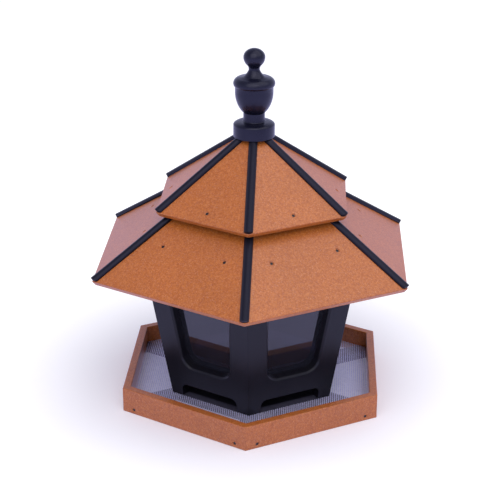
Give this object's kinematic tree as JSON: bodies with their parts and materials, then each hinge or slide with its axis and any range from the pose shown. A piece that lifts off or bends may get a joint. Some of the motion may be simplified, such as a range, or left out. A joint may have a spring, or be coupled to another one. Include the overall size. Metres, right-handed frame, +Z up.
{
  "type": "bird feeder",
  "caption": "Hexagonal gazebo bird feeder with a mesh-floored tray, windowed hopper, tiered hipped roof and a lift-off lid under a turned finial.",
  "frame": {"origin": "on the ground under the finial, in the middle of the tray's underside", "axes": "+Z is up the finial; -Y points to the tray corner that faces the camera; +X is to its right"},
  "size_m": [0.4216, 0.4852, 0.4927],
  "materials": {
    "cedar_board": "orange-brown speckled recycled-plastic board, satin",
    "black_board": "black recycled-plastic board, satin",
    "dark_pane": "dark acrylic sheet, glossy",
    "wire_screen": "woven wire, satin",
    "steel": "coated steel fasteners"
  },
  "bodies": {
    "feeder": {"tray_rail_1": "cedar_board", "tray_rail_2": "cedar_board", "tray_rail_3": "cedar_board", "tray_rail_4": "cedar_board", "tray_rail_5": "cedar_board", "tray_rail_6": "cedar_board", "lower_roof_panel_1": "cedar_board", "lower_roof_panel_2": "cedar_board", "lower_roof_panel_3": "cedar_board", "lower_roof_panel_4": "cedar_board", "lower_roof_panel_5": "cedar_board", "lower_roof_panel_6": "cedar_board", "tray_spoke_1": "black_board", "tray_spoke_2": "black_board", "tray_spoke_3": "black_board", "tray_spoke_4": "black_board", "tray_spoke_5": "black_board", "tray_spoke_6": "black_board", "pole_hub": "black_board", "body_panel_1": "black_board", "body_panel_2": "black_board", "body_panel_3": "black_board", "body_panel_4": "black_board", "body_panel_5": "black_board", "body_panel_6": "black_board", "lower_hip_strip_1": "black_board", "lower_hip_strip_2": "black_board", "lower_hip_strip_3": "black_board", "lower_hip_strip_4": "black_board", "lower_hip_strip_5": "black_board", "lower_hip_strip_6": "black_board", "window_pane_1": "dark_pane", "window_pane_2": "dark_pane", "window_pane_3": "dark_pane", "window_pane_4": "dark_pane", "window_pane_5": "dark_pane", "window_pane_6": "dark_pane", "floor_screen": "wire_screen", "tray_screws": "steel", "foot_screws": "steel", "hub_screws": "steel", "lower_roof_screws": "steel"},
    "lid": {"upper_roof_panel_1": "cedar_board", "upper_roof_panel_2": "cedar_board", "upper_roof_panel_3": "cedar_board", "upper_roof_panel_4": "cedar_board", "upper_roof_panel_5": "cedar_board", "upper_roof_panel_6": "cedar_board", "upper_hip_strip_1": "black_board", "upper_hip_strip_2": "black_board", "upper_hip_strip_3": "black_board", "upper_hip_strip_4": "black_board", "upper_hip_strip_5": "black_board", "upper_hip_strip_6": "black_board", "lid_screws": "steel", "lid_board": "black_board", "lid_plug": "black_board", "finial": "black_board", "finial_rod": "steel", "finial_nut": "steel"}
  },
  "joints": [
    {"name": "lid_lift", "type": "slide", "parent": "feeder", "child": "lid", "axis": [0, 0, 1], "range_m": [0, 0.15]}
  ]
}
